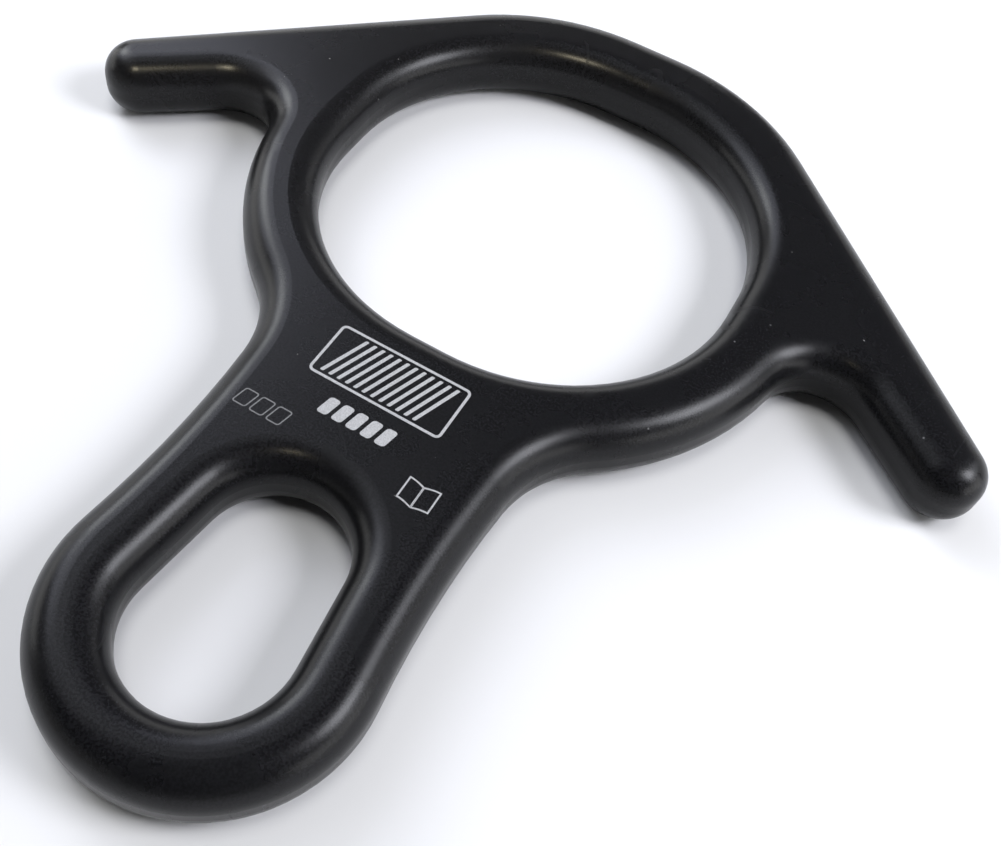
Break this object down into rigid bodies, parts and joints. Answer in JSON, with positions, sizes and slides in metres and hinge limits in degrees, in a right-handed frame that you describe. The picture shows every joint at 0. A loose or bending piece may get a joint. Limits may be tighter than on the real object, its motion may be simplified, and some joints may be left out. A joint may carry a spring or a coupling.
{
  "type": "rope descender",
  "caption": "Flat rescue-style figure-eight rope descender: large ring opening with rope-retaining ears, narrow neck and elongated carabiner eye, all edges heavily rounded, black anodised.",
  "frame": {"origin": "on the underside, under the middle of the overall width and length", "axes": "+Z through the plate, out of the marked face; +Y along the length, from the carabiner eye towards the ring end; +X from ear to ear"},
  "size_m": [0.1728, 0.173, 0.0127],
  "materials": {
    "anodised_plate": "satin black hard anodised"
  },
  "bodies": {
    "root": {"descender_body": "anodised_plate"}
  },
  "joints": []
}
